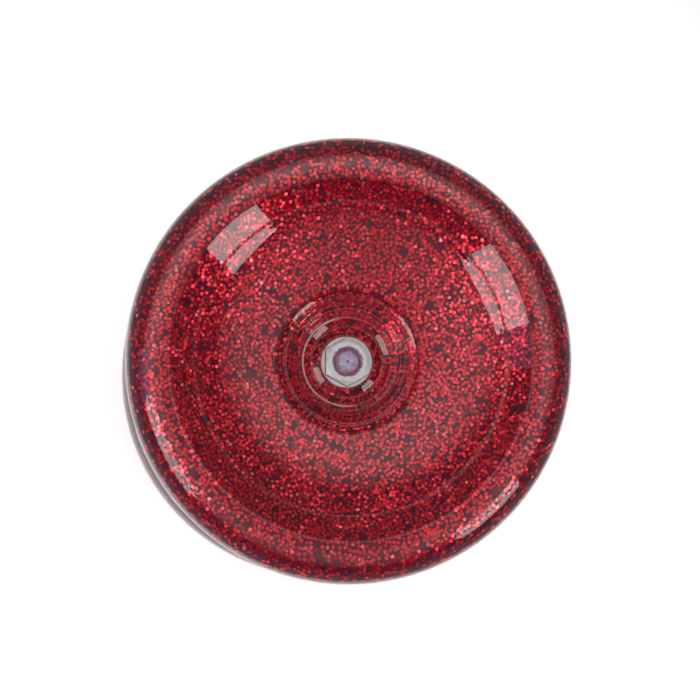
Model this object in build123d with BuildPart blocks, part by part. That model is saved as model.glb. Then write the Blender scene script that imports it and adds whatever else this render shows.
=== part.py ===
"""Bearing diabolo: two hollow clear cups lined with glitter, clamped on one stud, and a string roller.

The object stands on the rim of its lower cup. Its axis is Z and the origin is the middle of the surface it
stands on. Every height below is counted from the middle of the axle, where the string runs: sections are
drawn on SECTION, the XZ plane raised to that height, and turned about Z. Lengths are millimetres.

Upper pieces are drawn, and their twins are mirrored below the middle.
"""

import math
import os

from build123d import *

# Cup, outside
RIM_RADIUS = 52.5
CREST_HEIGHT = 56.0  # half of the diabolo's length
CREST_OUTER_RADIUS = 43.0
CREST_INNER_RADIUS = 42.3
RIM_FULLNESS = 0.72  # of the rim's rounded shoulder; 0.55 would be a quarter circle
SEAM_HEIGHT = CREST_HEIGHT - 9.5  # where the rim ring is welded to the rear shell
NECK_HEIGHT = 16.0
NECK_RADIUS = 10.0
NECK_FLOOR = 2.2
SHELL_WALL = 2.0

# Front of the cup: a rim ring, a spherical dish inside its crest, and a hub boss with a stepped well
DISH_SPHERE_RADIUS = 80.0
DISH_INNER_RADIUS = 17.2
FACE_WALL = 1.8
BACK_SIDE_RADIUS = 50.5
BACK_TOP_DROP = 2.4
BACK_SHOULDER_RADIUS = 43.0
BACK_SHOULDER_HEIGHT = 6.6
BACK_FULLNESS = 0.67
LINER_WALL = 0.5
LINER_LAP = 2.5  # how far the liner runs down inside the rear shell

# Well and boss, as (radius, depth below the inner edge of the dish)
WELL_SIDE = [(16.9, 0.3), (16.6, 0.8), (15.3, 1.4), (14.8, 1.5), (14.5, 2.5), (12.8, 3.1), (12.4, 4.0)]
WELL_FLOOR = [(10.8, 4.5), (10.4, 6.1), (8.5, 6.95)]
BOSS_SIDE = [(8.3, 6.95), (6.5, 6.1), (6.2, 6.1)]
WASHER_DEPTH = 8.1
HUB_BACK = [(17.2, 3.8), (15.2, 4.8), (9.4, 9.2), (7.0, 10.0)]
HUB_LINER_BACK = [(17.7, 4.1), (15.4, 5.3), (9.6, 9.75), (7.0, 10.6)]

# Metric hardware on the M6 stud
STUD_RADIUS = 2.97
STUD_HALF_LENGTH = 42.3
STUD_CHAMFER = 0.6
BORE_RADIUS = 3.0
NUT_FLATS = 10.0
NUT_THICKNESS = 3.2
NUT_CHAMFER = 0.7
NUT_MOUTH = 0.6
WASHER_RADIUS = 6.0
WASHER_BORE = 3.2
WASHER_THICKNESS = 1.6

# Hub tube and neck flange, which carry the clamping load past the plastic
TUBE_BORE = 3.1
TUBE_RADIUS = 5.4
TUBE_HOLE = 5.5
COLLAR_RADIUS = 8.0
COLLAR_THICKNESS = 1.6
FLANGE_FOOT = 13.6
FLANGE_RADIUS = 11.0
FLANGE_CONE_HEIGHT = 1.2
FLANGE_EDGE = 0.4

# String roller
ROLLER_HALF_LENGTH = 13.0
ROLLER_WAIST_RADIUS = 7.4
ROLLER_WAIST_HALF = 7.5
ROLLER_END_RADIUS = 9.2
ROLLER_END_WIDTH = 1.6
ROLLER_EDGE = 0.4
ROLLER_BORE = 6.0

# Three 6 x 12 x 4 ball bearings
BEARING_PITCH = 8.5
BEARING_WIDTH = 4.0
BEARING_RADIUS = 5.98
OUTER_RING_BORE = 5.05
INNER_RING_RADIUS = 3.95
BALL_RADIUS = 0.8
BALL_CIRCLE = 4.5
BALL_COUNT = 8
RACE_RADIUS = 0.85
CAGE_BORE = 4.2
CAGE_RADIUS = 4.8
CAGE_WIDTH = 2.3
CAGE_POCKET = 0.88
SHIELD_THICKNESS = 0.2
SHIELD_INSET = 0.15
SHIELD_BORE = 4.05
SHIELD_RADIUS = 5.23
SHIELD_SEAT_RADIUS = 5.25

# Spacers and retaining clips
INNER_SPACER_RADIUS = 3.9
OUTER_SPACER_BORE = 5.3
CLIP_FOOT = BEARING_PITCH + BEARING_WIDTH / 2 + 0.02
CLIP_THICKNESS = 0.6
CLIP_RADIUS = 6.3
CLIP_BORE = 5.1
CLIP_GAP = 2.4
CLIP_LUG_PITCH = 5.1
CLIP_LUG_RADIUS = 0.75
CLIP_LUG_HOLE = 0.3
CLIP_LUG_ANGLE = 28
GROOVE_RADIUS = 6.35
GROOVE_PLAY = 0.05

SECTION = Plane(origin=(0, 0, CREST_HEIGHT), x_dir=(1, 0, 0), z_dir=(0, -1, 0))
MIDDLE = Plane.XY.offset(CREST_HEIGHT)


def write(piece, name):
    """Labels one finished piece and writes it as its own STEP file."""
    piece.part.label = name
    export_step(piece.part, f"parts/{name}.step")


def write_pair(piece, name):
    """Writes an upper piece and its twin, mirrored through the middle of the axle."""
    write(piece, f"upper_{name}")
    with BuildPart() as twin:
        mirror(piece.part, about=MIDDLE)
    write(twin, f"lower_{name}")


def section(*points):
    """A closed section with straight sides through (radius, height) points."""
    with BuildSketch(SECTION) as outline:
        with BuildLine():
            Polyline(*points, close=True)
        make_face()
    return outline.sketch


def tube_section(inner, outer, low, high):
    """The section of a plain tube between two radii and two heights."""
    return section((inner, low), (outer, low), (outer, high), (inner, high))


def dish_height(radius, depth):
    """The height of the dish at a radius, on the sphere that lies depth behind its front surface."""
    centre = CREST_HEIGHT + math.sqrt(DISH_SPHERE_RADIUS**2 - CREST_INNER_RADIUS**2)
    return centre - math.sqrt((DISH_SPHERE_RADIUS + depth) ** 2 - radius**2)


def dish_arc(outer, inner, depth):
    """The arc of the dish between two radii, and its two ends, outer end first."""
    ends = [(radius, dish_height(radius, depth)) for radius in (outer, (outer + inner) / 2, inner)]
    ThreePointArc(*ends)
    return ends[0], ends[-1]


def hub_points(steps):
    """Turns (radius, depth) steps of the hub into (radius, height) points."""
    edge = dish_height(DISH_INNER_RADIUS, 0)
    return [(radius, edge - depth) for radius, depth in steps]


def shoulder(low, high, fullness):
    """A rounded shoulder that leaves its low end straight up and meets its high end level."""
    (side, foot), (inner, top) = low, high
    Bezier(low, (side, foot + fullness * (top - foot)), (inner + fullness * (side - inner), top), high)


def rim_back(depth, foot=SEAM_HEIGHT):
    """The back of the rim ring, depth behind its wall, from its foot to the dish; returns its two ends."""
    side = BACK_SIDE_RADIUS - depth
    shoulder_low = (side, CREST_HEIGHT - BACK_TOP_DROP - BACK_SHOULDER_HEIGHT)
    shoulder_high = (BACK_SHOULDER_RADIUS, CREST_HEIGHT - BACK_TOP_DROP - depth)
    inner_end = (CREST_INNER_RADIUS, dish_height(CREST_INNER_RADIUS, FACE_WALL + depth))
    Line((side, foot), shoulder_low)
    shoulder(shoulder_low, shoulder_high, BACK_FULLNESS)
    Line(shoulder_high, inner_end)
    return (side, foot), inner_end


def liner_side(depth, hub_steps):
    """One side of the liner, depth behind the clear wall, from its lap to the hub; returns its two ends."""
    hub = hub_points(hub_steps)
    lap_end = rim_back(depth, SEAM_HEIGHT - LINER_LAP)[0]
    dish_end = dish_arc(CREST_INNER_RADIUS, hub[0][0], FACE_WALL + depth)[1]
    Polyline(dish_end, *hub)
    return lap_end, hub[-1]


os.makedirs("parts", exist_ok=True)

washer_seat = dish_height(DISH_INNER_RADIUS, 0) - WASHER_DEPTH

# Rim ring: the clear round edge of the cup, which it stands on
with BuildPart() as rim_ring:
    with BuildSketch(SECTION):
        with BuildLine():
            crest = (CREST_INNER_RADIUS, CREST_HEIGHT)
            shoulder((RIM_RADIUS, SEAM_HEIGHT), (CREST_OUTER_RADIUS, CREST_HEIGHT), RIM_FULLNESS)
            Line((CREST_OUTER_RADIUS, CREST_HEIGHT), crest)
            seam_end, dish_end = rim_back(0)
            Line(crest, dish_end)
            Line((RIM_RADIUS, SEAM_HEIGHT), seam_end)
        make_face()
    revolve(axis=Axis.Z)
write_pair(rim_ring, "rim_ring")

# Dish window: the clear spherical dish inside the crest
with BuildPart() as dish_window:
    with BuildSketch(SECTION):
        with BuildLine():
            front_ends = dish_arc(CREST_INNER_RADIUS, DISH_INNER_RADIUS, 0)
            back_ends = dish_arc(CREST_INNER_RADIUS, DISH_INNER_RADIUS, FACE_WALL)
            for front_end, back_end in zip(front_ends, back_ends):
                Line(front_end, back_end)
        make_face()
    revolve(axis=Axis.Z)
write_pair(dish_window, "dish_window")

# Hub boss: the clear middle of the cup, a stepped well with a low boss round the washer
with BuildPart() as hub_boss:
    well = hub_points([(DISH_INNER_RADIUS, 0)] + WELL_SIDE + WELL_FLOOR + BOSS_SIDE)
    hub_back = hub_points(HUB_BACK)
    pocket = [(BOSS_SIDE[-1][0], washer_seat), (TUBE_HOLE, washer_seat), (TUBE_HOLE, hub_back[-1][1])]
    revolve(section(*well, *pocket, *reversed(hub_back)), axis=Axis.Z)
write_pair(hub_boss, "hub_boss")

# Glitter liner: the thin glittered layer bonded to the back of the clear front and lapped over the weld
with BuildPart() as glitter_liner:
    with BuildSketch(SECTION):
        with BuildLine():
            near_ends = liner_side(0, HUB_BACK)
            far_ends = liner_side(LINER_WALL, HUB_LINER_BACK)
            for near_end, far_end in zip(near_ends, far_ends):
                Line(near_end, far_end)
        make_face()
    revolve(axis=Axis.Z)
write_pair(glitter_liner, "glitter_liner")

# Rear shell: the clear bowl that flares from the neck to the rim
with BuildPart() as rear_shell:
    with BuildSketch(SECTION):
        with BuildLine():
            inside = RIM_RADIUS - SHELL_WALL
            lap_foot = SEAM_HEIGHT - LINER_LAP
            floor_top = NECK_HEIGHT + NECK_FLOOR
            Bezier((NECK_RADIUS, NECK_HEIGHT), (28, 19), (RIM_RADIUS, 27), (RIM_RADIUS, SEAM_HEIGHT))
            Polyline((RIM_RADIUS, SEAM_HEIGHT), (inside, SEAM_HEIGHT), (inside, lap_foot))
            Bezier((inside, lap_foot), (inside, 28.2), (27, 21.2), (NECK_RADIUS, floor_top))
            Polyline((NECK_RADIUS, floor_top), (TUBE_HOLE, floor_top), (TUBE_HOLE, NECK_HEIGHT))
            Line((TUBE_HOLE, NECK_HEIGHT), (NECK_RADIUS, NECK_HEIGHT))
        make_face()
    revolve(axis=Axis.Z)
write_pair(rear_shell, "rear_shell")

# Hub tube: stands on the neck flange, clamps the shell's floor with its collar and carries the washer
with BuildPart() as hub_tube:
    collar_foot = NECK_HEIGHT + NECK_FLOOR
    collar_top = collar_foot + COLLAR_THICKNESS
    revolve(tube_section(TUBE_BORE, TUBE_RADIUS, NECK_HEIGHT, washer_seat), axis=Axis.Z)
    revolve(tube_section(TUBE_BORE, COLLAR_RADIUS, collar_foot, collar_top), axis=Axis.Z)
write_pair(hub_tube, "hub_tube")

# Neck flange: the cone-edged metal disc between the roller and the cup
with BuildPart() as neck_flange:
    profile = section(
        (BORE_RADIUS, FLANGE_FOOT),
        (ROLLER_END_RADIUS, FLANGE_FOOT),
        (FLANGE_RADIUS, FLANGE_FOOT + FLANGE_CONE_HEIGHT),
        (FLANGE_RADIUS, NECK_HEIGHT - FLANGE_EDGE),
        (FLANGE_RADIUS - FLANGE_EDGE, NECK_HEIGHT),
        (BORE_RADIUS, NECK_HEIGHT),
    )
    revolve(profile, axis=Axis.Z)
write_pair(neck_flange, "neck_flange")

# Washer in the pocket of the boss
nut_foot = washer_seat + WASHER_THICKNESS
with BuildPart() as washer:
    revolve(tube_section(WASHER_BORE, WASHER_RADIUS, washer_seat, nut_foot), axis=Axis.Z)
write_pair(washer, "washer")

# Hexagon nut: its outer corners are turned off at 30 degrees, and its thread mouth is chamfered
nut_top = nut_foot + NUT_THICKNESS
with BuildPart() as nut:
    with BuildSketch(MIDDLE.offset(nut_foot)):
        RegularPolygon(radius=NUT_FLATS / 2, side_count=6, major_radius=False, rotation=30)
        Circle(BORE_RADIUS, mode=Mode.SUBTRACT)
    extrude(amount=NUT_THICKNESS)
    chamfer(nut.faces().sort_by(Axis.Z)[-1].inner_wires()[0].edges(), length=NUT_MOUTH)
    corner = NUT_FLATS / math.sqrt(3)
    envelope = section(
        (0, nut_foot),
        (corner, nut_foot),
        (corner, nut_top - NUT_CHAMFER),
        (corner - NUT_CHAMFER / math.tan(math.radians(30)), nut_top),
        (0, nut_top),
    )
    revolve(envelope, axis=Axis.Z, mode=Mode.INTERSECT)
write_pair(nut, "nut")

# Axle stud: one rod through everything, at its thread's outer size
with BuildPart() as axle_stud:
    with BuildSketch(MIDDLE.offset(-STUD_HALF_LENGTH)):
        Circle(STUD_RADIUS)
    extrude(amount=2 * STUD_HALF_LENGTH)
    chamfer(axle_stud.edges().filter_by(GeomType.CIRCLE), length=STUD_CHAMFER)
write(axle_stud, "axle_stud")

# String roller: a waisted tube that the string runs on, bored for its bearings and grooved for its clips
with BuildPart() as string_roller:
    with BuildSketch(SECTION):
        with BuildLine():
            end_foot = ROLLER_HALF_LENGTH - ROLLER_END_WIDTH
            groove_low = CLIP_FOOT - GROOVE_PLAY / 2
            groove_high = CLIP_FOOT + CLIP_THICKNESS + GROOVE_PLAY
            Line((ROLLER_WAIST_RADIUS, -ROLLER_WAIST_HALF), (ROLLER_WAIST_RADIUS, ROLLER_WAIST_HALF))
            for end in (1, -1):
                waist_end = (ROLLER_WAIST_RADIUS, end * ROLLER_WAIST_HALF)
                lip_foot = (ROLLER_END_RADIUS, end * end_foot)
                TangentArc(waist_end, lip_foot, tangent=(0, end))
                Polyline(
                    lip_foot,
                    (ROLLER_END_RADIUS, end * (ROLLER_HALF_LENGTH - ROLLER_EDGE)),
                    (ROLLER_END_RADIUS - ROLLER_EDGE, end * ROLLER_HALF_LENGTH),
                    (ROLLER_BORE, end * ROLLER_HALF_LENGTH),
                    (ROLLER_BORE, end * groove_high),
                    (GROOVE_RADIUS, end * groove_high),
                    (GROOVE_RADIUS, end * groove_low),
                    (ROLLER_BORE, end * groove_low),
                )
            Line((ROLLER_BORE, groove_low), (ROLLER_BORE, -groove_low))
        make_face()
    revolve(axis=Axis.Z)
write(string_roller, "string_roller")

# Ball bearings, each with two rings, a ring of balls, their cage and a pair of shields
for place, centre in (("lower", -BEARING_PITCH), ("middle", 0), ("upper", BEARING_PITCH)):
    low = centre - BEARING_WIDTH / 2
    high = centre + BEARING_WIDTH / 2
    seat = SHIELD_INSET + SHIELD_THICKNESS
    ball_circle = Location((0, 0, CREST_HEIGHT + centre))

    with BuildPart() as inner_ring:
        revolve(tube_section(BORE_RADIUS, INNER_RING_RADIUS, low, high), axis=Axis.Z)
        with Locations(ball_circle):
            Torus(BALL_CIRCLE, RACE_RADIUS, mode=Mode.SUBTRACT)
    write(inner_ring, f"{place}_bearing_inner_ring")

    with BuildPart() as outer_ring:
        revolve(tube_section(OUTER_RING_BORE, BEARING_RADIUS, low, high), axis=Axis.Z)
        for foot in (low, high - seat):
            shield_seat = tube_section(OUTER_RING_BORE, SHIELD_SEAT_RADIUS, foot, foot + seat)
            revolve(shield_seat, axis=Axis.Z, mode=Mode.SUBTRACT)
        with Locations(ball_circle):
            Torus(BALL_CIRCLE, RACE_RADIUS, mode=Mode.SUBTRACT)
    write(outer_ring, f"{place}_bearing_outer_ring")

    with BuildPart() as balls:
        with Locations(ball_circle):
            with PolarLocations(BALL_CIRCLE, BALL_COUNT):
                Sphere(BALL_RADIUS)
    write(balls, f"{place}_bearing_balls")

    with BuildPart() as cage:
        cage_low = centre - CAGE_WIDTH / 2
        revolve(tube_section(CAGE_BORE, CAGE_RADIUS, cage_low, cage_low + CAGE_WIDTH), axis=Axis.Z)
        with Locations(ball_circle):
            with PolarLocations(BALL_CIRCLE, BALL_COUNT):
                Cylinder(CAGE_POCKET, 2, rotation=(0, 90, 0), mode=Mode.SUBTRACT)
    write(cage, f"{place}_bearing_cage")

    with BuildPart() as shields:
        for foot in (low + SHIELD_INSET, high - seat):
            revolve(tube_section(SHIELD_BORE, SHIELD_RADIUS, foot, foot + SHIELD_THICKNESS), axis=Axis.Z)
    write(shields, f"{place}_bearing_shields")

# Spacers: inner and outer ones between the bearings, and end ones that hold the flanges off the roller
gap_low = BEARING_WIDTH / 2
gap_high = BEARING_PITCH - BEARING_WIDTH / 2
with BuildPart() as inner_spacer:
    revolve(tube_section(BORE_RADIUS, INNER_SPACER_RADIUS, gap_low, gap_high), axis=Axis.Z)
write_pair(inner_spacer, "inner_spacer")

with BuildPart() as outer_spacer:
    revolve(tube_section(OUTER_SPACER_BORE, BEARING_RADIUS, gap_low, gap_high), axis=Axis.Z)
write_pair(outer_spacer, "outer_spacer")

with BuildPart() as end_spacer:
    end_spacer_foot = BEARING_PITCH + BEARING_WIDTH / 2
    revolve(tube_section(BORE_RADIUS, INNER_SPACER_RADIUS, end_spacer_foot, FLANGE_FOOT), axis=Axis.Z)
write_pair(end_spacer, "end_spacer")

# Retaining clip: an open spring ring with two drilled lugs, in the roller's groove beyond an end bearing
with BuildPart() as retaining_clip:
    with BuildSketch(MIDDLE.offset(CLIP_FOOT)):
        Circle(CLIP_RADIUS)
        Circle(CLIP_BORE, mode=Mode.SUBTRACT)
        with Locations((CLIP_RADIUS, 0)):
            Rectangle(2 * CLIP_GAP, CLIP_GAP, mode=Mode.SUBTRACT)
        for angle in (CLIP_LUG_ANGLE, -CLIP_LUG_ANGLE):
            with PolarLocations(CLIP_LUG_PITCH, 1, start_angle=angle):
                Circle(CLIP_LUG_RADIUS)
                Circle(CLIP_LUG_HOLE, mode=Mode.SUBTRACT)
    extrude(amount=CLIP_THICKNESS)
write_pair(retaining_clip, "retaining_clip")
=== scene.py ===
"""Bearing diabolo with clear cups and red glitter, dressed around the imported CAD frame.

Metres throughout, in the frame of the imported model: the diabolo stands on its lower rim, axis +Z.
The clear cups and their glitter are lathed here at a finer step than the CAD mesh and lie within
the CAD model's box.
"""

import math

import bpy
import numpy as np
from mathutils import Matrix, Vector


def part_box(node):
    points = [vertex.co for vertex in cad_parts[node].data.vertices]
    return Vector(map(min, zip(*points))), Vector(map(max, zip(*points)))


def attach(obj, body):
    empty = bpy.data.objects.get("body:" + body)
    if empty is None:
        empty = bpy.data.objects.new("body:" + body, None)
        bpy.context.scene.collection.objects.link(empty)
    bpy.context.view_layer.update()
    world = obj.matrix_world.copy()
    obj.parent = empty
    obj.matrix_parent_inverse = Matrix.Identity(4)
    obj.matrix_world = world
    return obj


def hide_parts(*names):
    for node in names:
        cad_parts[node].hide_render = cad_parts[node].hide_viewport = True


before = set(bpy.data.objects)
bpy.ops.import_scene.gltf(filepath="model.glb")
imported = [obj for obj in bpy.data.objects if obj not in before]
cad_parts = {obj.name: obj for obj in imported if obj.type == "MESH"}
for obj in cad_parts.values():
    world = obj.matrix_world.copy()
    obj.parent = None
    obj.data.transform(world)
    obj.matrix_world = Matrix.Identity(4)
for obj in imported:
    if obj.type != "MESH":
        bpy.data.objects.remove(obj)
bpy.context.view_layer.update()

MM = 0.001

# Sizes read from the frame
rim_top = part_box("upper_rim_ring")[1]
shell_bottom, shell_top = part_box("upper_rear_shell")
RIM_RADIUS = rim_top.x
CREST = rim_top.z
MIDDLE = CREST / 2
SEAM = shell_top.z
NECK = shell_bottom.z

# Clear front and liner, as the CAD part has them
CREST_OUTER = 43.0 * MM
CREST_INNER = 42.3 * MM
RIM_FULLNESS = 0.72  # of the rim's rounded shoulder; 0.55 would be a quarter circle
DISH_SPHERE = 80.0 * MM
DISH_INNER = 17.2 * MM
FACE_WALL = 1.8 * MM
BACK_SIDE = 50.5 * MM
BACK_TOP_DROP = 2.4 * MM
BACK_SHOULDER = 43.0 * MM
BACK_SHOULDER_HEIGHT = 6.6 * MM
BACK_FULLNESS = 0.67
LINER_WALL = 0.5 * MM
LINER_LAP = 2.5 * MM
TUBE_HOLE = 5.5 * MM

# Well and boss, as (radius, depth below the inner edge of the dish) in millimetres
WELL_SIDE = [
    (16.9, 0.3),
    (16.6, 0.8),
    (15.3, 1.4),
    (14.8, 1.5),
    (14.5, 2.5),
    (12.8, 3.1),
    (12.4, 4.0),
]
WELL_FLOOR = [(10.8, 4.5), (10.4, 6.1), (8.5, 6.95)]
BOSS_SIDE = [(8.3, 6.95), (6.5, 6.1), (6.2, 6.1)]
WASHER_DEPTH = 8.1
HUB_BACK = [(17.2, 3.8), (15.2, 4.8), (9.4, 9.2), (7.0, 10.0)]
HUB_LINER_BACK = [(17.7, 4.1), (15.4, 5.3), (9.6, 9.75), (7.0, 10.6)]
WELL_ROUND = 0.4 * MM  # rounding of the well's inner corners, and of the back's
BACK_ROUND = 0.5 * MM

# A fine moulded ring that stands on the dish
MOULD_RING = 36.5 * MM
MOULD_RING_HALF = 0.7 * MM
MOULD_RING_HEIGHT = 0.08 * MM

# Rear shell
SHELL_WALL = 2.0 * MM
NECK_RADIUS = 10.0 * MM
NECK_FLOOR = 2.2 * MM
# What pulls its curves out, as (radius, height above the neck), and their height up the side
FLARE_OUTSIDE = (28.0 * MM, 3.0 * MM)
FLARE_INSIDE = (27.0 * MM, 5.2 * MM)
SIDE_OUTSIDE = 11.0 * MM
SIDE_INSIDE = 12.2 * MM
SEAM_CHAMFER = 0.1 * MM
SEAM_GAP = 0.02 * MM

# Glitter film: the clear plastic ends inside it, so that the flakes are set in the plastic
BOND = 0.34 * MM
FILM_NEAR = 0.24 * MM
FILM_FAR = LINER_WALL - 0.02 * MM
FILM_FOOT = SEAM - LINER_LAP + 0.05 * MM
HUB_END = 5.75 * MM  # the film runs in under the boss, close to the hub tube

# Glitter flakes
FLAKE_RADIUS = 0.455 * MM
FLAKE_RADIUS_SPREAD = 0.06
FLAKE_THICKNESS = 0.03 * MM
FLAKE_DEPTH = 0.13 * MM
FLAKE_SCATTER = 0.08 * MM
FLAKE_SPACING = 0.75 * MM
FLAKES_PER_M2 = 1.16e6
FLAKE_TRIES = 8  # places tried for each flake wanted
FLAKE_TILT = 4.0  # degrees, and that of the few that lie loose
FLAKE_LOOSE_TILT = 14.0
FLAKE_LOOSE_SHARE = 0.07
FLAKE_SEEDS = {"upper": 11, "lower": 23}
CLUMP = 1.3 * MM  # size of the thicker and thinner patches of glitter
CLUMP_WAVES = 12
CLUMP_THIN = (-1.9, -0.8)  # the patches thin out between these levels, down to this share
CLUMP_SHARE = 0.4
SPARSE_FROM = 47.6 * MM  # the flakes thin out from here to the side wall
SPARSE_TO = 50.0 * MM
SIDE_SHARE = 0.42

# Strength of the clear lacquer over film and flakes: thin on the dish, full in the rim, and none on
# the side wall
LACQUER_DISH = 0.11
LACQUER_RIM = 1.0
LACQUER_STEP = (43.6 * MM, 45.0 * MM)
LACQUER_END = (50.1 * MM, 49.2 * MM)
LACQUER_ROUGHNESS = 0.03
LACQUER_IOR = 1.5
PLASTIC_IOR = 1.49

# Nut and washer: the stain in the nut's mouth, and a painted shadow line round the nut's foot on
# the washer
NUT_MOUTH = 3.5 * MM
NUT_HALF_FLATS = 5.0 * MM

# Painted highlights on the mould edges, thin whitish rings brightest on one side: radius, half
# width, strength, and the half angle and middle of the brighter arc
EDGE_HIGHLIGHTS = [
    (10.5 * MM, 0.32 * MM, 0.8, 78.0, 190.0),
    (14.7 * MM, 0.18 * MM, 0.16, 80.0, 250.0),
    (12.6 * MM, 0.16 * MM, 0.14, 80.0, 60.0),
    (MOULD_RING, 0.35 * MM, 0.05, 85.0, 275.0),
    (42.5 * MM, 0.30 * MM, 0.07, 85.0, 275.0),
]

# Steps of the lathed meshes
LATHE_STEPS = 240
CURVE_STEPS = 40
SHOULDER_STEPS = 32
DISH_STEPS = 36
ROUND_STEPS = 4
SHARP_TURN = math.radians(28.0)  # an outline that turns more than this has a hard edge there


# ---------------------------------------------------------------- profiles


def bezier(p0, p1, p2, p3, steps=CURVE_STEPS):
    """Points on a cubic curve."""
    made = []
    for t in np.linspace(0, 1, steps + 1):
        s = 1 - t
        w = (s**3, 3 * s * s * t, 3 * s * t * t, t**3)
        made.append(tuple(sum(w[i] * p[k] for i, p in enumerate((p0, p1, p2, p3))) for k in (0, 1)))
    return made


def shoulder(low, high, fullness):
    """Points on a shoulder that leaves its low end straight up and meets its high end level."""
    (side, foot), (inner, top) = low, high
    above_low = (side, foot + fullness * (top - foot))
    beside_high = (inner + fullness * (side - inner), top)
    return bezier(low, above_low, beside_high, high, SHOULDER_STEPS)


def dish_height(radius, depth=0.0):
    """Height of the dish at a radius, depth behind its front surface."""
    centre = CREST + math.sqrt(DISH_SPHERE**2 - CREST_INNER**2)
    return centre - math.sqrt((DISH_SPHERE + depth) ** 2 - radius**2)


def dish(outer, inner, depth=0.0, steps=DISH_STEPS):
    """Points on the dish between two radii, outer first."""
    return [(r, dish_height(r, depth)) for r in np.linspace(outer, inner, steps + 1)]


def hub_points(steps):
    """Turns the hub's (radius, depth) steps in millimetres into (radius, height) points."""
    edge = dish_height(DISH_INNER)
    return [(r * MM, edge - d * MM) for r, d in steps]


def rounded(points, radius, steps=ROUND_STEPS):
    """Rounds each inner corner of an open polyline with a short quadratic curve."""
    made = [points[0]]
    for before, corner, after in zip(points, points[1:], points[2:]):
        corner_v, ends = Vector(corner), []
        for other in (before, after):
            arm = Vector(other) - corner_v
            ends.append(corner_v + arm.normalized() * min(radius, arm.length * 0.45))
        for t in np.linspace(0, 1, steps + 1):
            point = ends[0] * (1 - t) ** 2 + corner_v * (2 * t * (1 - t)) + ends[1] * t**2
            made.append(tuple(point))
    return made + [points[-1]]


def back_line(depth, foot):
    """The line depth behind the back of the clear front, from the height of its foot to the hub."""
    side, top = BACK_SIDE - depth, CREST - BACK_TOP_DROP
    shoulder_low = (side, top - BACK_SHOULDER_HEIGHT)
    shoulder_high = (BACK_SHOULDER, top - depth)
    share = depth / LINER_WALL
    hub = [
        (a[0] + (b[0] - a[0]) * share, a[1] + (b[1] - a[1]) * share)
        for a, b in zip(hub_points(HUB_BACK), hub_points(HUB_LINER_BACK))
    ]
    hub.append((HUB_END, hub[-1][1]))
    inner = (hub[0][0], dish_height(hub[0][0], FACE_WALL + depth))
    return (
        [(side, foot)]
        + shoulder(shoulder_low, shoulder_high, BACK_FULLNESS)
        + dish(CREST_INNER, inner[0], FACE_WALL + depth)
        + rounded([inner] + hub, BACK_ROUND)[1:]
    )


def face_outline():
    """The whole section of the clear front: rim ring, dish window and hub boss."""
    rim = shoulder((RIM_RADIUS, SEAM), (CREST_OUTER, CREST), RIM_FULLNESS)[1:]
    bead = []
    for along, lift in ((1.0, 0.0), (0.5, 0.7), (0.0, 1.0), (-0.5, 0.7), (-1.0, 0.0)):
        radius = MOULD_RING + along * MOULD_RING_HALF
        bead.append((radius, dish_height(radius) + lift * MOULD_RING_HEIGHT))
    beside = 1.5 * MOULD_RING_HALF
    outer_dish = dish(CREST_INNER, MOULD_RING + beside, steps=10)
    inner_dish = dish(MOULD_RING - beside, DISH_INNER, steps=30)
    front = [(RIM_RADIUS - SEAM_CHAMFER, SEAM)] + rim + outer_dish + bead + inner_dish
    pocket = [(BOSS_SIDE[-1][0], WASHER_DEPTH)]
    steps = [(DISH_INNER / MM, 0)] + WELL_SIDE + WELL_FLOOR + BOSS_SIDE + pocket
    hub = rounded(hub_points(steps), WELL_ROUND)
    back = back_line(BOND, SEAM)[::-1]
    ledge = [(TUBE_HOLE, hub[-1][1]), (TUBE_HOLE, back[0][1])]
    return front + hub[1:] + ledge + back


def shell_outline():
    """The whole section of a rear shell."""
    inside, floor = RIM_RADIUS - SHELL_WALL, NECK + NECK_FLOOR
    top, lap = SEAM - SEAM_GAP, SEAM - LINER_LAP
    outer = bezier(
        (NECK_RADIUS, NECK),
        (FLARE_OUTSIDE[0], NECK + FLARE_OUTSIDE[1]),
        (RIM_RADIUS, NECK + SIDE_OUTSIDE),
        (RIM_RADIUS, SEAM),
    )
    inner = bezier(
        (inside, lap),
        (inside, NECK + SIDE_INSIDE),
        (FLARE_INSIDE[0], NECK + FLARE_INSIDE[1]),
        (NECK_RADIUS, floor),
    )
    lip = [
        (RIM_RADIUS, top - SEAM_CHAMFER),
        (RIM_RADIUS - SEAM_CHAMFER, top),
        (inside - BOND, top),
        (inside - BOND, lap + BOND),
    ]
    outer = [point for point in outer if point[1] < SEAM - 2 * SEAM_CHAMFER]
    return outer + lip + inner + [(TUBE_HOLE, floor), (TUBE_HOLE, NECK)]


def film_outline():
    """The section of the film and the number of points on its near line."""
    near = back_line(FILM_NEAR, FILM_FOOT)
    return near + back_line(FILM_FAR, FILM_FOOT)[::-1], len(near)


# ---------------------------------------------------------------- meshes


def placed(name, mesh):
    """An object in the scene that holds a mesh."""
    piece = bpy.data.objects.new(name, mesh)
    bpy.context.scene.collection.objects.link(piece)
    return piece


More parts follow.
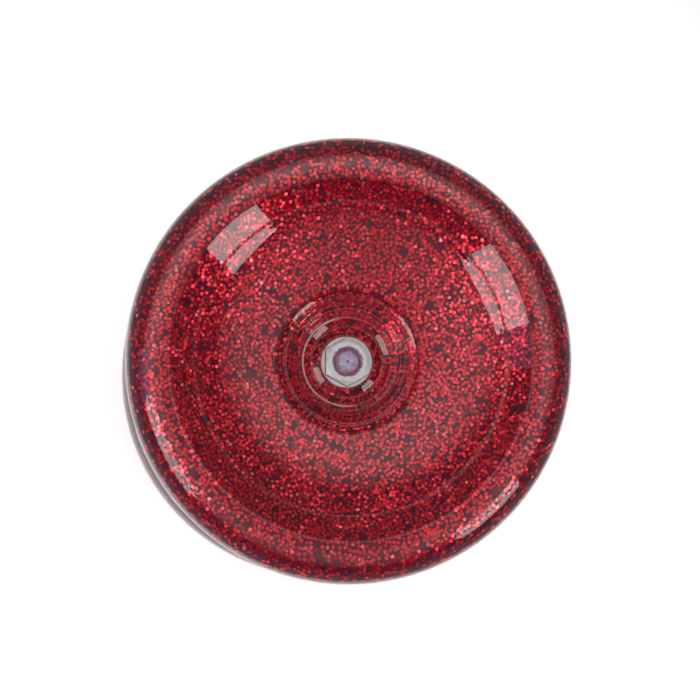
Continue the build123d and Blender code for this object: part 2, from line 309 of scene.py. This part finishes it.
def lathe(name, outline, upper, back_from=None):
    """Turns a closed outline about Z; a lower piece is its mirror image through the middle.

    Segments between points from back_from on take the piece's second material.
    """
    points = np.array(outline)
    count = len(points)
    is_back = np.arange(count) >= (count if back_from is None else back_from)
    following = np.roll(points, -1, 0)
    if np.sum(points[:, 0] * following[:, 1] - following[:, 0] * points[:, 1]) < 0:
        points = points[::-1]
        is_back = is_back[::-1]
    angles = np.linspace(0, 2 * math.pi, LATHE_STEPS, endpoint=False)
    grid = np.empty((LATHE_STEPS, count, 3))
    grid[:, :, 0] = np.cos(angles)[:, None] * points[:, 0]
    grid[:, :, 1] = np.sin(angles)[:, None] * points[:, 0]
    grid[:, :, 2] = points[:, 1]
    faces = []
    for i in range(LATHE_STEPS):
        j = (i + 1) % LATHE_STEPS
        for k in range(count):
            m = (k + 1) % count
            faces.append((i * count + k, j * count + k, j * count + m, i * count + m))
    if not upper:
        grid[:, :, 2] = 2 * MIDDLE - grid[:, :, 2]
        faces = [face[::-1] for face in faces]
    mesh = bpy.data.meshes.new(name)
    mesh.from_pydata(grid.reshape(-1, 3).tolist(), [], faces)
    mesh.polygons.foreach_set("use_smooth", np.ones(len(faces), bool))
    second = is_back & np.roll(is_back, -1)
    mesh.polygons.foreach_set("material_index", np.tile(second.astype(np.int32), LATHE_STEPS))
    mesh.update()
    ahead = np.roll(points, -1, 0) - points
    heading = np.arctan2(ahead[:, 1], ahead[:, 0])
    turn = (heading - np.roll(heading, 1) + math.pi) % (2 * math.pi) - math.pi
    corner = np.abs(turn) > SHARP_TURN
    for edge in mesh.edges:
        a, b = edge.vertices
        if a % count == b % count and corner[a % count]:
            edge.use_edge_sharp = True
    return placed(name, mesh)


def spread_out(spot, thin, share, wanted):
    """Which of the places tried hold a flake: none is nearer than the spacing to one before it."""
    cell = np.floor(spot / FLAKE_SPACING).astype(int)
    taken, kept = {}, []
    for i in range(len(spot)):
        x, y, z = cell[i]
        near = (
            j
            for dx in (-1, 0, 1)
            for dy in (-1, 0, 1)
            for dz in (-1, 0, 1)
            for j in taken.get((x + dx, y + dy, z + dz), ())
        )
        if all(np.sum((spot[i] - spot[j]) ** 2) > FLAKE_SPACING**2 for j in near):
            taken.setdefault((x, y, z), []).append(i)
            if thin[i] > share[i]:
                continue
            kept.append(i)
            if len(kept) == wanted:
                break
    return np.array(kept)


def flake_places(rng):
    """Each flake's centre, its turn about Z and the direction of the liner's section there."""
    line = np.array(back_line(FLAKE_DEPTH, SEAM))
    start, step = line[:-1], np.diff(line, axis=0)
    length = np.hypot(step[:, 0], step[:, 1])
    weight = length * (start[:, 0] + step[:, 0] / 2)
    wanted = int(2 * math.pi * weight.sum() * FLAKES_PER_M2)
    tries = wanted * FLAKE_TRIES
    pick = rng.choice(len(length), tries, p=weight / weight.sum())
    along = rng.random(tries)
    angle = rng.random(tries) * 2 * math.pi
    rz = start[pick] + step[pick] * along[:, None]
    spot = np.stack([rz[:, 0] * np.cos(angle), rz[:, 0] * np.sin(angle), rz[:, 1]], 1)
    thin = rng.random(tries)
    share = np.interp(rz[:, 0], (SPARSE_FROM, SPARSE_TO), (1.0, SIDE_SHARE))
    waves = rng.normal(size=(3, CLUMP_WAVES)) / CLUMP
    phase = rng.random(CLUMP_WAVES) * 2 * math.pi
    clump = np.cos(spot @ waves + phase).sum(1) / math.sqrt(CLUMP_WAVES / 2)
    share *= np.interp(clump, CLUMP_THIN, (CLUMP_SHARE, 1.0))
    kept = spread_out(spot, thin, share, wanted)
    return spot[kept], angle[kept], (step / length[:, None])[pick[kept]]


def unit(vectors):
    return vectors / np.linalg.norm(vectors, axis=1)[:, None]


def flakes(name, upper, seed):
    """Hexagonal glitter flakes scattered over the liner, each tilted a little its own way."""
    rng = np.random.default_rng(seed)
    spot, angle, ahead = flake_places(rng)
    count = len(spot)
    cos, sin = np.cos(angle), np.sin(angle)
    along_line = np.stack([ahead[:, 0] * cos, ahead[:, 0] * sin, ahead[:, 1]], 1)
    around = np.stack([-sin, cos, np.zeros(count)], 1)
    smooth = np.stack([ahead[:, 1] * cos, ahead[:, 1] * sin, -ahead[:, 0]], 1)
    loose = rng.random(count) < FLAKE_LOOSE_SHARE
    spread = np.where(loose, FLAKE_LOOSE_TILT, FLAKE_TILT)
    tilt = rng.normal(size=(count, 2)) * np.radians(spread)[:, None]
    normal = unit(smooth + along_line * tilt[:, :1] + around * tilt[:, 1:])
    side = unit(np.cross(normal, around))
    other = np.cross(normal, side)
    turn = rng.random(count) * math.pi / 3
    size = FLAKE_RADIUS * (1 + FLAKE_RADIUS_SPREAD * rng.normal(size=count))
    spot = spot + normal * (rng.random(count)[:, None] - 0.5) * FLAKE_SCATTER
    corners = []
    for lift in (-0.5, 0.5):
        for k in range(6):
            a = turn + k * math.pi / 3
            reach = side * np.cos(a)[:, None] + other * np.sin(a)[:, None]
            corners.append(spot + reach * size[:, None] + normal * lift * FLAKE_THICKNESS)
    verts = np.stack(corners, 1).reshape(-1, 3)
    pattern = [[6, 7, 8, 9, 10, 11], [5, 4, 3, 2, 1, 0]]
    pattern += [[k, (k + 1) % 6, 6 + (k + 1) % 6, 6 + k] for k in range(6)]
    if not upper:
        verts[:, 2] = 2 * MIDDLE - verts[:, 2]
        smooth[:, 2] *= -1
        pattern = [face[::-1] for face in pattern]
    faces = [[12 * i + v for v in face] for i in range(count) for face in pattern]
    mesh = bpy.data.meshes.new(name)
    mesh.from_pydata(verts.tolist(), [], faces)
    shade = mesh.attributes.new("shade", "FLOAT", "FACE")
    shade.data.foreach_set("value", np.repeat(rng.random(count), len(pattern)))
    lay = mesh.attributes.new("lay", "FLOAT_VECTOR", "FACE")
    lay.data.foreach_set("vector", np.repeat(smooth, len(pattern), 0).ravel())
    mesh.update()
    return placed(name, mesh)


# ---------------------------------------------------------------- materials


class Nodes:
    """One material, and short ways to add nodes to it and link them."""

    def __init__(self, name):
        self.material = bpy.data.materials.new(name)
        self.material.use_nodes = True
        self.tree = self.material.node_tree
        self.shader = self.tree.nodes["Principled BSDF"]
        self.output = self.tree.nodes["Material Output"]

    def add(self, kind, settings=None, **inputs):
        node = self.tree.nodes.new(kind)
        for key, value in (settings or {}).items():
            setattr(node, key, value)
        for key, value in inputs.items():
            self.put(node, key.replace("_", " "), value)
        return node

    def put(self, node, key, value):
        socket = node.inputs[int(key)] if key.isdigit() else node.inputs[key]
        if isinstance(value, bpy.types.NodeSocket):
            self.tree.links.new(value, socket)
        else:
            socket.default_value = value

    def set(self, **inputs):
        for key, value in inputs.items():
            self.put(self.shader, key.replace("_", " "), value)
        return self

    def position(self):
        return self.add("ShaderNodeTexCoord").outputs["Object"]

    def noise(self, scale, detail=3.0, roughness=0.55, vector=None):
        node = self.add("ShaderNodeTexNoise", Scale=scale, Detail=detail, Roughness=roughness)
        self.put(node, "Vector", vector or self.position())
        return node.outputs["Fac"]

    def ramp(self, factor, *stops):
        node = self.add("ShaderNodeValToRGB", Fac=factor)
        ramp = node.color_ramp
        while len(ramp.elements) < len(stops):
            ramp.elements.new(0.5)
        for element, (place, colour) in zip(ramp.elements, stops):
            element.position = place
            element.color = (*colour, 1.0) if len(colour) == 3 else colour
        return node.outputs["Color"]

    def span(self, factor, low, high):
        """From low at 0 to high at 1."""
        node = self.add("ShaderNodeMapRange", Value=factor, To_Min=low, To_Max=high)
        return node.outputs["Result"]

    def map(self, value, start, end):
        """0 at start and 1 at end."""
        node = self.add("ShaderNodeMapRange", Value=value, From_Min=start, From_Max=end)
        return node.outputs["Result"]

    def math(self, operation, *values):
        inputs = {str(i): value for i, value in enumerate(values)}
        return self.add("ShaderNodeMath", {"operation": operation}, **inputs).outputs[0]

    def dot(self, vector, fixed):
        inputs = {"0": vector, "1": fixed}
        node = self.add("ShaderNodeVectorMath", {"operation": "DOT_PRODUCT"}, **inputs)
        return node.outputs["Value"]

    def blend(self, factor, first, second):
        inputs = {"0": factor, "6": first, "7": second}
        return self.add("ShaderNodeMix", {"data_type": "RGBA"}, **inputs).outputs[2]

    def bump(self, height, strength, distance, normal=None):
        node = self.add("ShaderNodeBump", Height=height, Strength=strength, Distance=distance)
        if normal is not None:
            self.put(node, "Normal", normal)
        return node.outputs["Normal"]

    def radius_and_height(self):
        """Distance from the axis, and height."""
        split = self.add("ShaderNodeSeparateXYZ", Vector=self.position())
        flat = self.add("ShaderNodeCombineXYZ", X=split.outputs["X"], Y=split.outputs["Y"])
        length = self.add("ShaderNodeVectorMath", {"operation": "LENGTH"}, **{"0": flat.outputs[0]})
        return length.outputs["Value"], split.outputs["Z"]

    def radius(self):
        return self.radius_and_height()[0]

    def turned(self):
        """Coordinates that change with radius and height only, as a lathe's tool marks do."""
        radius, height = self.radius_and_height()
        return self.add("ShaderNodeCombineXYZ", X=radius, Y=height).outputs[0]

    def lacquer(self):
        """Strength of the clear lacquer at each distance from the axis."""
        radius = self.radius()
        strength = self.span(self.map(radius, *LACQUER_STEP), LACQUER_DISH, LACQUER_RIM)
        return self.math("MULTIPLY", strength, self.map(radius, *LACQUER_END))


def edge_ring(n, radius, half_width, strength, half_angle, middle):
    """A painted highlight on a mould edge: a thin whitish ring, strongest on the side at middle
    degrees.
    """
    off_ring = n.math("ABSOLUTE", n.math("SUBTRACT", n.radius(), radius))
    ring = n.map(off_ring, half_width, 0.3 * half_width)
    side = (math.cos(math.radians(middle)), math.sin(math.radians(middle)), 0.0)
    edge = radius * math.cos(math.radians(half_angle))
    near = n.map(n.dot(n.position(), side), edge - 0.3 * radius, edge)
    uneven_strength = n.span(n.noise(1400.0), 0.6 * strength, 1.3 * strength)
    return n.math("MULTIPLY", n.math("MULTIPLY", ring, n.span(near, 0.12, 1.0)), uneven_strength)


def clear_plastic(name, tint, haze, rings=()):
    """Polished clear plastic with a faint moulded ripple; lamps shine through it to the glitter.
    Along the rings it turns whitish, a painted highlight.
    """
    n = Nodes(name)
    ripple = n.bump(n.noise(260.0, 2.0), 0.02, 0.2 * MM)
    rough = n.span(n.noise(900.0, 4.0), haze, haze + 0.03)
    n.set(Base_Color=(*tint, 1), Roughness=rough, IOR=PLASTIC_IOR, Transmission_Weight=1.0)
    n.set(Normal=ripple)
    # Painted highlights: along the rings the plastic lets less through and shows its own whitish
    # tint.
    painted_highlight = None
    for ring in rings:
        painted_highlight = edge_ring(n, *ring) if painted_highlight is None else n.math("ADD", painted_highlight, edge_ring(n, *ring))
    if painted_highlight is not None:
        n.set(Transmission_Weight=n.span(painted_highlight, 1.0, 0.0))
    through = n.add("ShaderNodeBsdfTransparent", Color=(*(0.96 * c for c in tint), 1))
    path = n.add("ShaderNodeLightPath")
    mix = n.add("ShaderNodeMixShader", **{"0": path.outputs["Is Shadow Ray"]})
    n.tree.links.new(n.shader.outputs[0], mix.inputs[1])
    n.tree.links.new(through.outputs[0], mix.inputs[2])
    n.tree.links.new(mix.outputs[0], n.output.inputs["Surface"])
    return n.material


def glitter_film():
    """The ground that holds the flakes: dark wine, mottled, under clear lacquer."""
    n = Nodes("film_front")
    dark, light = (0.075, 0.006, 0.021), (0.20, 0.016, 0.047)
    n.set(Base_Color=n.ramp(n.noise(420.0, 5.0, 0.65), (0.3, dark), (0.75, light)))
    n.set(Specular_IOR_Level=0.0, Roughness=n.span(n.noise(1500.0), 0.3, 0.5))
    n.set(Normal=n.bump(n.noise(700.0), 0.2, 0.05 * MM))
    n.set(Coat_Weight=n.lacquer(), Coat_Roughness=LACQUER_ROUGHNESS, Coat_IOR=LACQUER_IOR)
    return n.material


def film_back():
    """The back of the glitter film, a silvery grey seen through the rear shell."""
    n = Nodes("film_back")
    colour = n.ramp(n.noise(700.0, 5.0), (0.3, (0.33, 0.33, 0.35)), (0.7, (0.55, 0.55, 0.57)))
    n.set(Base_Color=colour, Metallic=0.85, Roughness=n.span(n.noise(1300.0), 0.28, 0.45))
    n.set(Normal=n.bump(n.noise(2200.0), 0.2, 0.05 * MM))
    return n.material


def flake_foil():
    """Red metallised foil; each flake has its own shade, and the lacquer over it lies level."""
    n = Nodes("flake_foil")
    shade = n.add("ShaderNodeAttribute", {"attribute_name": "shade"}).outputs["Fac"]
    colour = n.ramp(
        shade,
        (0.0, (0.70, 0.006, 0.016)),
        (0.4, (0.92, 0.012, 0.032)),
        (0.9, (1.0, 0.024, 0.048)),
        (1.0, (1.0, 0.14, 0.14)),
    )
    n.set(Base_Color=colour, Metallic=0.58, Roughness=n.span(n.noise(2500.0), 0.12, 0.24))
    n.set(Coat_Weight=n.lacquer(), Coat_Roughness=LACQUER_ROUGHNESS, Coat_IOR=LACQUER_IOR)
    lay = n.add("ShaderNodeAttribute", {"attribute_name": "lay"}).outputs["Vector"]
    way = {"vector_type": "NORMAL", "convert_from": "OBJECT", "convert_to": "WORLD"}
    n.set(Coat_Normal=n.add("ShaderNodeVectorTransform", way, Vector=lay).outputs["Vector"])
    return n.material


def turned_metal(name, colour, roughness, depth=0.02, metallic=1.0):
    """Metal from a lathe: fine rings in its finish, depth millimetres deep, and uneven tone."""
    n = Nodes(name)
    rings = n.noise(5200.0, 2.0, 0.6, n.turned())
    dark = tuple(0.78 * c for c in colour)
    n.set(Base_Color=n.ramp(n.noise(160.0, 4.0), (0.3, dark), (0.7, colour)), Metallic=metallic)
    n.set(Roughness=n.span(rings, roughness * 0.7, roughness * 1.4))
    n.set(Normal=n.bump(rings, 0.35, depth * MM))
    return n.material


def plated_steel(name, mouth, shadow_half_flats=0.0):
    """Zinc plate: pale, a little cloudy, with handling marks, and stained within a radius of mouth.

    Given a distance, it also paints a shadow line round the nut's foot, following a hexagon whose
    sides are that far from the axis.
    """
    n = Nodes(name)
    cloud = n.noise(700.0, 6.0, 0.7)
    marks = n.noise(1500.0, 4.0, 0.7)
    plate = n.ramp(
        cloud, (0.25, (0.56, 0.54, 0.53)), (0.5, (0.78, 0.76, 0.75)), (0.8, (0.88, 0.87, 0.86))
    )
    stain = n.ramp(
        marks, (0.3, (0.16, 0.05, 0.09)), (0.5, (0.34, 0.16, 0.24)), (0.75, (0.62, 0.45, 0.55))
    )
    ragged = n.math("MULTIPLY_ADD", marks, -2.6 * MM, n.radius())
    inside = n.map(ragged, mouth - 1.15 * MM, mouth - 1.3 * MM)
    colour = n.blend(inside, plate, stain)
    if shadow_half_flats:
        sides = [(math.cos(a), math.sin(a), 0.0) for a in (0.0, math.pi / 3, 2 * math.pi / 3)]
        reach = [n.math("ABSOLUTE", n.dot(n.position(), side)) for side in sides]
        hexagon = n.math("MAXIMUM", n.math("MAXIMUM", reach[0], reach[1]), reach[2])
        # Painted shadow: a dark hexagonal line just outside the nut's flats, where the nut stands
        # on the washer.
        painted_shadow = n.map(hexagon, shadow_half_flats + 0.22 * MM, shadow_half_flats + 0.1 * MM)
        colour = n.blend(painted_shadow, colour, (0.10, 0.08, 0.07, 1))
    n.set(Base_Color=colour, Metallic=0.2, Roughness=n.span(cloud, 0.35, 0.55))
    n.set(Normal=n.bump(marks, 0.25, 0.03 * MM))
    return n.material


def stud_steel():
    """The stained end of the stud: mottled, blue grey in the middle and plum at its edge, with a
    dot of painted shade at its very centre.
    """
    n = Nodes("stud_end")
    patches = n.noise(1100.0, 6.0, 0.75)
    pale = n.ramp(
        patches, (0.3, (0.30, 0.24, 0.38)), (0.5, (0.50, 0.46, 0.62)), (0.7, (0.80, 0.78, 0.90))
    )
    plum = n.ramp(
        patches, (0.3, (0.22, 0.07, 0.12)), (0.5, (0.44, 0.24, 0.34)), (0.7, (0.62, 0.46, 0.58))
    )
    radius = n.radius()
    ragged = n.math("MULTIPLY_ADD", n.noise(600.0), 2.0 * MM, radius)
    colour = n.blend(n.map(ragged, 2.0 * MM, 3.4 * MM), pale, plum)
    # Painted shade: a dark dot at the very centre, for the lathe's centre dimple.
    colour = n.blend(n.map(radius, 0.45 * MM, 0.25 * MM), colour, (0.20, 0.13, 0.20, 1))
    n.set(Base_Color=colour, Metallic=0.25, Roughness=n.span(patches, 0.35, 0.6))
    n.set(Normal=n.bump(n.noise(2600.0, 4.0), 0.5, 0.08 * MM))
    return n.material


# ---------------------------------------------------------------- pieces

# The front plastic carries the painted highlights on the mould edges.
front_plastic = clear_plastic("clear_front", (1.0, 0.99, 0.99), 0.0, EDGE_HIGHLIGHTS)
rear_plastic = clear_plastic("clear_rear", (0.985, 0.985, 1.0), 0.01)
film = glitter_film()
back = film_back()
foil = flake_foil()
film_line, near_count = film_outline()

for side in ("upper", "lower"):
    upper = side == "upper"
    face = lathe(f"{side}_clear_front", face_outline(), upper)
    face.data.materials.append(front_plastic)
    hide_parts(f"{side}_rim_ring", f"{side}_dish_window", f"{side}_hub_boss")

    shell = lathe(f"{side}_clear_shell", shell_outline(), upper)
    shell.data.materials.append(rear_plastic)
    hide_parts(f"{side}_rear_shell")

    layer = lathe(f"{side}_glitter_film", film_line, upper, near_count)
    layer.data.materials.append(film)
    layer.data.materials.append(back)
    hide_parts(f"{side}_glitter_liner")

    dots = flakes(f"{side}_glitter_flakes", upper, FLAKE_SEEDS[side])
    dots.data.materials.append(foil)

    for piece in (face, shell, layer, dots):
        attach(piece, "cups")

# Finishes of the CAD nodes that show as they are, by the end of the node's name
race = turned_metal("race_steel", (0.78, 0.78, 0.8), 0.12)
finishes = {
    "hub_tube": turned_metal("hub_turned", (0.80, 0.80, 0.82), 0.3),
    "neck_flange": turned_metal("flange_turned", (0.84, 0.84, 0.86), 0.2),
    "nut": plated_steel("nut_plate", NUT_MOUTH),
    # The washer carries the painted shadow line round the nut.
    "washer": plated_steel("washer_plate", 0.0, NUT_HALF_FLATS),
    "axle_stud": stud_steel(),
    "string_roller": turned_metal("roller_turned", (0.72, 0.72, 0.74), 0.18),
    "cage": turned_metal("cage_brass", (0.85, 0.62, 0.28), 0.3),
    "balls": turned_metal("ball_polish", (0.9, 0.9, 0.92), 0.06, depth=0.002),
    "shields": turned_metal("shield_steel", (0.66, 0.66, 0.68), 0.28),
    "inner_ring": race,
    "outer_ring": race,
    "spacer": turned_metal("spacer_turned", (0.74, 0.74, 0.76), 0.32),
    "retaining_clip": turned_metal("clip_black", (0.10, 0.10, 0.11), 0.4, metallic=0.8),
}
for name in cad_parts:
    for ending, finish in finishes.items():
        if name.endswith(ending):
            for holder in bpy.data.objects[name].material_slots:
                holder.material = finish


# ---------------------------------------------------------------- studio

CAMERA_DISTANCE = 0.863
CAMERA_TILT = 4.7  # degrees off the axle, and its turn about it
CAMERA_TURN = 212.0
VIEW_HALF_WIDTH = 82.2 * MM
AIM = Vector((0.3 * MM, 2.55 * MM, 0))
SENSOR_WIDTH = 36.0

LAMP_DISTANCE = 0.9
# name, degrees off the axle and turn, width and height in degrees, radiance, colour
LAMPS = [
    ("softbox_left", 49.3, 205.4, 25, 15, 4.5, (1, 1, 1)),
    ("softbox_right", 54.8, 317.7, 18, 15, 5.2, (1, 1, 1)),
    ("window", 57.0, 183.0, 14, 24, 0.8, (0.45, 0.55, 1.0)),
]

SKY_TILT = math.radians(3.0)  # the bright part of the sky leans toward the bottom of the picture
SKY_LEVEL = 0.95  # straight up; the sky is brighter toward the top of the picture
SKY_LEAN = 0.75
# Brightness of the sky against the cosine of the angle off its own axis
SKY = [
    (0.0, 0.12),
    (0.1, 0.09),
    (0.66, 0.10),
    (0.77, 0.93),
    (0.88, 0.98),
    (0.95, 0.62),
    (1.0, 0.48),
]

FLOOR_REACH = 6.0
POOL_RADIUS = 140 * MM  # the painted pool of light on the floor, and where it has faded
POOL_EDGE = 230 * MM
POOL_GLOW = 0.6

cup_centre = Vector((0, 0, SEAM))


def polar(distance, off_axis, turn):
    """A point seen from the upper cup: degrees off the axle, and turned about +Z from +X."""
    off_axis, turn = math.radians(off_axis), math.radians(turn)
    flat = distance * math.sin(off_axis)
    return cup_centre + Vector(
        (flat * math.cos(turn), flat * math.sin(turn), distance * math.cos(off_axis))
    )


def facing_cup(place, up):
    """A matrix at place that looks at the upper cup, with its own +Y nearest up."""
    back_axis = (place - cup_centre).normalized()
    right = up.cross(back_axis).normalized()
    rotation = Matrix((right, back_axis.cross(right), back_axis)).transposed()
    return Matrix.Translation(place) @ rotation.to_4x4()


def set_stops(ramp, stops):
    """Sets a colour ramp to grey stops."""
    while len(ramp.elements) < len(stops):
        ramp.elements.new(0.5)
    for element, (place, level) in zip(ramp.elements, stops):
        element.position = place
        element.color = (level, level, level, 1)


def add_camera():
    data = bpy.data.cameras.new("camera")
    data.sensor_width = SENSOR_WIDTH
    data.lens = SENSOR_WIDTH / 2 * CAMERA_DISTANCE / VIEW_HALF_WIDTH
    data.clip_start = 0.01
    camera = placed("camera", data)
    matrix = facing_cup(polar(CAMERA_DISTANCE, CAMERA_TILT, CAMERA_TURN), Vector((0, 1, 0)))
    camera.matrix_world = Matrix.Translation(matrix.to_3x3() @ AIM) @ matrix
    bpy.context.scene.camera = camera


def add_softbox(name, off_axis, turn, width, height, radiance, colour):
    """A rectangular lamp of the given angular size, aimed at the upper cup."""
    data = bpy.data.lights.new(name, "AREA")
    data.shape = "RECTANGLE"
    data.size = 2 * LAMP_DISTANCE * math.tan(math.radians(width / 2))
    data.size_y = 2 * LAMP_DISTANCE * math.tan(math.radians(height / 2))
    data.energy = radiance * math.pi * data.size * data.size_y
    data.color = colour
    lamp = placed(name, data)
    lamp.matrix_world = facing_cup(polar(LAMP_DISTANCE, off_axis, turn), Vector((0, 0, 1)))


def add_sky():
    """A soft sky: a bright ring round the axle, dim overhead, dark toward the horizon."""
    world = bpy.data.worlds.new("studio")
    bpy.context.scene.world = world
    world.use_nodes = True
    nodes, links = world.node_tree.nodes, world.node_tree.links
    background = nodes["Background"]
    direction = nodes.new("ShaderNodeTexCoord").outputs["Generated"]

    toward = nodes.new("ShaderNodeVectorMath")
    toward.operation = "DOT_PRODUCT"
    toward.inputs[1].default_value = (0, -math.sin(SKY_TILT), math.cos(SKY_TILT))
    links.new(direction, toward.inputs[0])
    ramp = nodes.new("ShaderNodeValToRGB")
    set_stops(ramp.color_ramp, SKY)
    links.new(toward.outputs["Value"], ramp.inputs["Fac"])
    links.new(ramp.outputs["Color"], background.inputs["Color"])

    split = nodes.new("ShaderNodeSeparateXYZ")
    links.new(direction, split.inputs[0])
    strength = nodes.new("ShaderNodeMath")
    strength.operation = "MULTIPLY_ADD"
    strength.inputs[1].default_value = SKY_LEAN
    strength.inputs[2].default_value = SKY_LEVEL
    links.new(split.outputs["Y"], strength.inputs[0])
    links.new(strength.outputs[0], background.inputs["Strength"])


def add_floor():
    """Pale paper with a painted pool of light round the diabolo: lighter and glowing near it,
    greyer further out.
    """
    mesh = bpy.data.meshes.new("floor")
    r = FLOOR_REACH
    mesh.from_pydata([(-r, -r, 0), (r, -r, 0), (r, r, 0), (-r, r, 0)], [], [(0, 1, 2, 3)])
    floor = placed("floor", mesh)
    paper = Nodes("paper")
    ragged = paper.math("MULTIPLY_ADD", paper.noise(9.0), 20 * MM, paper.radius())
    painted_pool = paper.map(ragged, POOL_EDGE, POOL_RADIUS)
    colour = paper.ramp(painted_pool, (0.0, (0.48, 0.48, 0.485)), (1.0, (0.9, 0.9, 0.9)))
    paper.set(Base_Color=colour, Roughness=0.9)
    # Painted light: the paper glows inside the pool, though it is no lamp.
    paper.set(Emission_Color=(1, 1, 1, 1), Emission_Strength=paper.span(painted_pool, 0.0, POOL_GLOW))
    floor.data.materials.append(paper.material)


add_camera()
for lamp in LAMPS:
    add_softbox(*lamp)
add_sky()
add_floor()
bpy.context.scene.view_settings.view_transform = "Standard"
